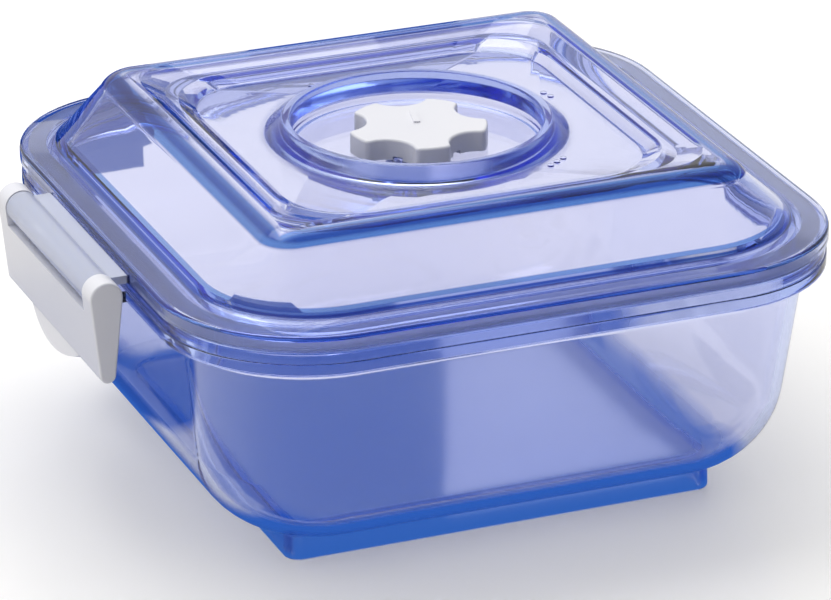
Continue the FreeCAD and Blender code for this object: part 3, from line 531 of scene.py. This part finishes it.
# Under the knob a moulded stem runs through the lid's bore, with a flat washer of the same plain plastic.
# A coned spring washer and an open ring of spring steel below them hold the knob down on the well's floor.
def spring_steel(name, pale, deep):
    """Stamped steel: brushed along the strip, with a slight change of shine."""
    made, shader, base, spot = new_finish(name)
    strip = base.node("ShaderNodeMapping", Vector=spot, Scale=(1, 14, 14))
    brush = base.node("ShaderNodeTexNoise", Vector=strip, Scale=420, Detail=3)
    base.fill(
        shader, Base_Color=blended(brush, pale, deep), Roughness=0.22 + 0.2 * brush, Metallic=1,
        Normal=base.node("ShaderNodeBump", Height=brush, Strength=0.15, Distance=0.0001),
    )
    return made


STEM_PALE, STEM_DEEP, WASHER_DEEP = (0.76, 0.80, 0.87, 1), (0.70, 0.75, 0.83, 1), (0.69, 0.74, 0.82, 1)
STEEL_PALE, STEEL_DEEP = (0.66, 0.67, 0.69, 1), (0.52, 0.53, 0.56, 1)
dressed("valve_stem", white_plastic("natural_stem_plastic", STEM_PALE, STEM_DEEP, 0.42))
dressed("stem_washer", white_plastic("natural_washer_plastic", STEM_PALE, WASHER_DEEP, 0.45))
dressed("disc_spring", spring_steel("spring_washer_steel", STEEL_PALE, STEEL_DEEP))
dressed("retaining_ring", spring_steel("ring_steel", STEEL_PALE, STEEL_DEEP))


# The knob is a five-lobed cap moulded in the same white plastic as the clip, polished a little more, with a
# raised index bar on top. It is pressed on to the stem and turns with it.
KNOB_PALE, KNOB_DEEP, KNOB_DULL = (0.80, 0.80, 0.84, 1), (0.76, 0.76, 0.81, 1), 0.18
dressed("knob", white_plastic("white_knob_plastic", KNOB_PALE, KNOB_DEEP, KNOB_DULL))


# The table is a smooth white board that keeps the soft shadow and a faint reflection of the canister. It
# is lifted towards white where it is seen directly or through the plastic. Under the bowl, and on the left
# behind it, clear and shiny surfaces find glowing blue zones in it: painted shade, with a painted lighter
# patch and shadow edge under the bowl, which give the plastic its deep blue.
TABLE_HALF = 6
BOARD_PALE, BOARD_DEEP, BOARD_GLOW = (0.82, 0.805, 0.775, 1), (0.80, 0.785, 0.755, 1), (0.24, 0.24, 0.24, 1)
ZONE_HALF, ZONE_PAINTED_SHADE, ZONE_PAINTED_LIGHT = (0.074, 0.084), (0.04, 0.15, 0.52, 1), (0.51, 0.60, 0.92, 1)
PALE_WAY, PALE_START = (0.9234, -0.3838, 0), (0.0131, 0.0149)
PALE_HALF, PALE_FRONT = (0.057, 0.061), (-0.05, -0.046)
BESIDE_SPOT, BESIDE_RADIUS, BESIDE_PAINTED_SHADE = (-0.11, 0.08, 0), (0.058, 0.066), (0.03, 0.1, 0.4, 1)
BLACK = (0, 0, 0, 1)
table_mesh = bmesh.new()
bmesh.ops.create_grid(table_mesh, x_segments=1, y_segments=1, size=TABLE_HALF)
table = piece_from("white_table", table_mesh)
board, board_shader, base, spot = new_finish("white_board")
grain = base.node("ShaderNodeTexNoise", Vector=spot, Scale=30, Detail=3)
base.fill(
    board_shader, Base_Color=blended(grain, BOARD_PALE, BOARD_DEEP), Roughness=0.3, Specular_IOR_Level=0.3,
)
direct = base.node("ShaderNodeLightPath", out="Is Camera Ray")
through = base.node("ShaderNodeLightPath", out="Is Transmission Ray")
mirrored = base.node("ShaderNodeLightPath", out="Is Glossy Ray")
seen = base.sum("MAXIMUM", direct, through)
glow = base.node("ShaderNodeEmission", Color=blended(seen, BLACK, BOARD_GLOW), Strength=1)
bright = base.node("ShaderNodeAddShader", i0=Finish(base.tree, board_shader.outputs[0]), i1=glow)
# Painted shade: a glowing dark blue disc on the left behind the bowl, seen only in shiny surfaces.
beside = base.node("ShaderNodeVectorMath", {"operation": "DISTANCE"}, "Value", i0=spot, i1=BESIDE_SPOT)
beside_shade_share = fade(beside, *BESIDE_RADIUS, 1, 0) * mirrored
beside_painted_shade = base.node("ShaderNodeEmission", Color=BESIDE_PAINTED_SHADE, Strength=1)
bright = base.node("ShaderNodeMixShader", Fac=beside_shade_share, i1=bright, i2=beside_painted_shade)
from_axis = square_distance(spot)
across = base.node("ShaderNodeVectorMath", {"operation": "DOT_PRODUCT"}, "Value", i0=spot, i1=PALE_WAY)
depth = base.node("ShaderNodeSeparateXYZ", out="Y", Vector=spot)
painted_light_share = fade(across, *PALE_START) * fade(from_axis, *PALE_HALF, 1, 0) * fade(depth, *PALE_FRONT)
# Painted shade under the bowl, with a painted lighter patch beyond a straight shadow edge, glowing for
# shiny and clear rays.
painted_zone_glow = base.node("ShaderNodeEmission", Color=blended(painted_light_share, ZONE_PAINTED_SHADE, ZONE_PAINTED_LIGHT), Strength=1)
painted_zone_share = fade(from_axis, *ZONE_HALF, 1, 0) * base.sum("MAXIMUM", mirrored, through)
surface = base.node("ShaderNodeMixShader", Fac=painted_zone_share, i1=bright, i2=painted_zone_glow)
base.fill(base.tree.nodes["Material Output"], Surface=surface)
table.data.materials.append(board)


# Two dark blue cards of painted shade hang behind the bowl, lower than the lid's top. The camera doesn't
# see them directly, but the clear plastic does, and takes its deep blue from them.
def card(name, left, right, low, high, away, colour):
    """An upright glowing sheet of painted shade that shows only in clear and shiny surfaces."""
    mesh = bmesh.new()
    bmesh.ops.create_grid(mesh, x_segments=1, y_segments=1, size=0.5)
    bmesh.ops.scale(mesh, verts=mesh.verts, vec=(right - left, high - low, 1))
    bmesh.ops.rotate(mesh, verts=mesh.verts, matrix=Matrix.Rotation(math.pi / 2, 3, "X"))
    bmesh.ops.translate(mesh, verts=mesh.verts, vec=((left + right) / 2, away, (low + high) / 2))
    made = piece_from(name, mesh)
    paper, _, base, _ = new_finish(name)
    through = base.node("ShaderNodeLightPath", out="Is Transmission Ray")
    mirrored = base.node("ShaderNodeLightPath", out="Is Glossy Ray")
    hidden = base.node("ShaderNodeBsdfTransparent")
    glow = base.node("ShaderNodeEmission", Color=colour, Strength=1)
    shown = base.sum("MAXIMUM", through, mirrored)
    surface = base.node("ShaderNodeMixShader", Fac=shown, i1=hidden, i2=glow)
    base.fill(base.tree.nodes["Material Output"], Surface=surface)
    made.data.materials.append(paper)


card(
    "painted_shade_card", left=0.0458, right=0.1193, low=0.06, high=0.16, away=0.25, colour=(0.05, 0.12, 0.5, 1),
)
card(
    "low_painted_shade_card", left=-0.09, right=-0.02, low=0.03, high=0.10, away=0.15, colour=(0.03, 0.10, 0.42, 1),
)


# Light: a white studio that is brightest behind and to the left, and one large soft box above the back.
# Its front is painted dark blue shade where the plastic mirrors it or looks through to it, and lights the
# scene only a dim grey. Clear plastic passes light along its walls and edges, so a ray may turn there many
# times.
SKY_WAY, SKY_RANGE, WHITE = (-0.5, 0.8, 0.33), (-0.6, 0.44), (1, 1, 1, 1)
SKY_FRONT_PAINTED_SHADE, SKY_FRONT_GREY = (0.05, 0.13, 0.5, 1), (0.19, 0.19, 0.2, 1)
BOX_WIDTH, BOX_DEPTH, BOX_WATTS, BOX_PLACE = 1.3, 1.0, 9, (-0.1, 0.55, 1.4)
scene.cycles.max_bounces = 24
scene.cycles.glossy_bounces = 20
scene.cycles.transmission_bounces = 24
world = bpy.data.worlds.new("studio")
scene.world = world
world.use_nodes = True
sky = Finish(world.node_tree)
sky_way = sky.node("ShaderNodeTexCoord", out="Generated")
sky_back = sky.node("ShaderNodeVectorMath", {"operation": "DOT_PRODUCT"}, "Value", i0=sky_way, i1=SKY_WAY)
sky_soft = sky.node("ShaderNodeLightPath", out="Is Diffuse Ray")
sky_seen = sky.node("ShaderNodeLightPath", out="Is Camera Ray")
# Painted shade: the sky's front is dark blue for mirrored and through rays, grey for the light it casts.
sky_front = blended(sky_soft, SKY_FRONT_PAINTED_SHADE, SKY_FRONT_GREY)
sky_round = blended(fade(sky_back, *SKY_RANGE), sky_front, WHITE)
sky.fill(world.node_tree.nodes["Background"], Color=blended(sky_seen, sky_round, WHITE))

box = bpy.data.lights.new("soft_box", "AREA")
box.shape = "RECTANGLE"
box.size = BOX_WIDTH
box.size_y = BOX_DEPTH
box.energy = BOX_WATTS
soft_box = bpy.data.objects.new("soft_box", box)
scene.collection.objects.link(soft_box)
soft_box.location = BOX_PLACE
soft_box.rotation_euler = soft_box.location.to_track_quat("Z", "Y").to_euler()


# The camera stands in front and to the left, above the lid, with a long lens. Its place was solved from the
# outlines of the flange, the slope and the foot.
CAMERA_PLACE, CAMERA_AIM = (-0.5117, -1.2666, 0.6236), (-0.02555, -0.07962, 0.0783)
camera = bpy.data.cameras.new("camera")
camera.lens = 231.7
camera.sensor_width = 36
camera.shift_x = -0.0028
view = bpy.data.objects.new("camera", camera)
scene.collection.objects.link(view)
view.location = CAMERA_PLACE
view.rotation_euler = (view.location - Vector(CAMERA_AIM)).to_track_quat("Z", "Y").to_euler()
scene.camera = view
scene.view_settings.view_transform = "Standard"
